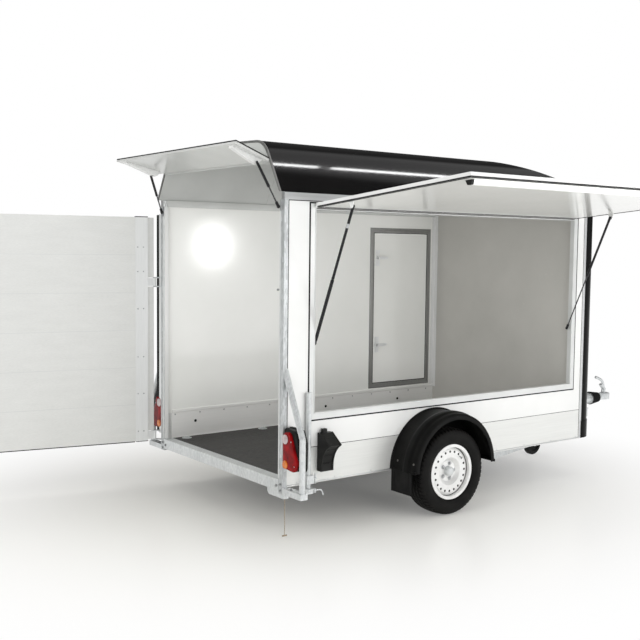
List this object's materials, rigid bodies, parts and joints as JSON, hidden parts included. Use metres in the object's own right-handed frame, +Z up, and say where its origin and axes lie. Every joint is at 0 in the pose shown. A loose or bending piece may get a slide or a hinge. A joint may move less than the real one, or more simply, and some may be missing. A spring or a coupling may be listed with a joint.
{
  "type": "box trailer with sales flap",
  "caption": "Enclosed box trailer on a sprung axle with a lift-up sales flap, a rear flap over a side-hung door, a personnel door, a jockey wheel and a ball coupling.",
  "frame": {"origin": "centre of the tow ball in the coupling's socket", "axes": "+X forward along the drawbar, +Y to the trailer's left, +Z up"},
  "size_m": [6.147, 3.4724, 2.556],
  "materials": {
    "white_panel": "smooth gloss white sandwich skin",
    "black_gel": "polished black gel coat",
    "aluminium": "natural anodised aluminium profile",
    "galvanised": "hot-dip galvanised steel",
    "plywood": "dark film-faced plywood",
    "black_plastic": "grained black plastic",
    "rubber": "black rubber",
    "tyre": "road tyre",
    "wheel_silver": "silver painted steel",
    "brake_drum": "cast iron drum",
    "lamp": "red lamp lens on a black base",
    "light_bar": "white diffuser",
    "strut_black": "black painted tube",
    "strut_rod": "dark plated rod",
    "cord": "natural braided cord"
  },
  "bodies": {
    "chassis": {"roof": "black_gel", "roof_arch": "white_panel", "wall_front": "white_panel", "nose": "black_gel", "side_planks": "aluminium", "wall_left": "white_panel", "wall_right": "white_panel", "hatch_frame": "aluminium", "edge_profiles": "aluminium", "rear_posts": "galvanised", "rear_sill": "galvanised", "floor": "plywood", "kick_plates": "aluminium", "chassis_rails": "galvanised", "cross_members": "galvanised", "axle": "galvanised", "drawbar": "galvanised", "overrun_housing": "galvanised", "bellows": "rubber", "coupling_head": "galvanised", "handbrake_lever": "galvanised", "jockey_post": "galvanised", "fenders": "black_plastic", "mudflaps": "rubber", "lamp_brackets": "galvanised", "tail_lamps": "lamp", "prop_stands": "galvanised", "wheel_chock": "black_plastic", "pass_door_frame": "aluminium", "pull_cord": "cord", "cord_toggle": "cord"},
    "wheel_left": {"tyre_left": "tyre", "rim_left": "wheel_silver", "drum_left": "brake_drum"},
    "wheel_right": {"tyre_right": "tyre", "rim_right": "wheel_silver", "drum_right": "brake_drum"},
    "jockey_fork": {"jockey_fork": "galvanised"},
    "jockey_wheel": {"jockey_wheel": "rubber"},
    "rear_door": {"rear_door_panel": "aluminium", "rear_door_frame": "aluminium", "rear_door_lock": "galvanised"},
    "rear_flap": {"rear_flap_panel": "white_panel", "rear_flap_sides": "aluminium"},
    "rear_strut_barrels": {"rear_strut_barrels": "strut_black"},
    "rear_strut_rod_left": {"rear_strut_rod_left": "strut_rod"},
    "rear_strut_rod_right": {"rear_strut_rod_right": "strut_rod"},
    "side_flap": {"side_flap_panel": "white_panel", "side_flap_frame": "aluminium", "side_flap_light": "light_bar", "side_flap_lock": "black_plastic"},
    "side_strut_barrels": {"side_strut_barrels": "strut_black"},
    "side_strut_rods": {"side_strut_rods": "strut_rod"},
    "pass_door": {"pass_door_leaf": "white_panel", "pass_door_latches": "aluminium"}
  },
  "joints": [
    {"name": "wheel_left_spin", "type": "hinge", "parent": "chassis", "child": "wheel_left", "pos_m": [-3.092, 0.97, -0.144], "axis": [0, 1, 0], "continuous": true},
    {"name": "wheel_right_spin", "type": "hinge", "parent": "chassis", "child": "wheel_right", "pos_m": [-3.092, -0.97, -0.144], "axis": [0, 1, 0], "continuous": true},
    {"name": "jockey_swivel", "type": "hinge", "parent": "chassis", "child": "jockey_fork", "pos_m": [-1.008, 0, -0.224], "axis": [0, 0, 1], "continuous": true},
    {"name": "jockey_spin", "type": "hinge", "parent": "jockey_fork", "child": "jockey_wheel", "pos_m": [-1.043, 0, -0.35], "axis": [0, 1, 0], "continuous": true},
    {"name": "rear_door_swing", "type": "hinge", "parent": "chassis", "child": "rear_door", "pos_m": [-4.408, 0.892, 0.76], "axis": [0, 0, 1], "range_deg": [-70, 101]},
    {"name": "rear_flap_lift", "type": "hinge", "parent": "chassis", "child": "rear_flap", "pos_m": [-4.432, 0, 1.962], "axis": [0, -1, 0], "range_deg": [0, 104.7]},
    {"name": "rear_strut_turn", "type": "hinge", "parent": "rear_flap", "child": "rear_strut_barrels", "pos_m": [-4.52105, 0, 1.93781], "axis": [0, -1, 0], "range_deg": [-134.79, 0]},
    {"name": "rear_strut_left_stroke", "type": "slide", "parent": "rear_strut_barrels", "child": "rear_strut_rod_left", "axis": [0.4032, 0.1966, -0.8938], "range_m": [-0.0852, 0]},
    {"name": "rear_strut_right_stroke", "type": "slide", "parent": "rear_strut_barrels", "child": "rear_strut_rod_right", "axis": [0.4032, -0.1966, -0.8938], "range_m": [-0.0852, 0]},
    {"name": "side_flap_lift", "type": "hinge", "parent": "chassis", "child": "side_flap", "pos_m": [-3.092, -0.846, 1.67], "axis": [1, 0, 0], "range_deg": [0, 95]},
    {"name": "side_strut_turn", "type": "hinge", "parent": "side_flap", "child": "side_strut_barrels", "pos_m": [-3.092, -1.18975, 1.66494], "axis": [1, 0, 0], "range_deg": [-120.62, 0]},
    {"name": "side_strut_stroke", "type": "slide", "parent": "side_strut_barrels", "child": "side_strut_rods", "axis": [0, 0.3999, -0.9166], "range_m": [-0.4249, 0]},
    {"name": "pass_door_swing", "type": "hinge", "parent": "chassis", "child": "pass_door", "pos_m": [-1.655, 0.842, 0.88], "axis": [0, 0, 1], "range_deg": [-105, 0]}
  ],
  "couplings": [
    {"joint": "rear_strut_turn", "follows": "rear_flap_lift", "ratio": -1.2621},
    {"joint": "rear_strut_left_stroke", "follows": "rear_flap_lift", "m_per_rad": -0.045735},
    {"joint": "rear_strut_right_stroke", "follows": "rear_flap_lift", "m_per_rad": -0.045735},
    {"joint": "side_strut_turn", "follows": "side_flap_lift", "ratio": -1.2448},
    {"joint": "side_strut_stroke", "follows": "side_flap_lift", "m_per_rad": -0.25125}
  ]
}
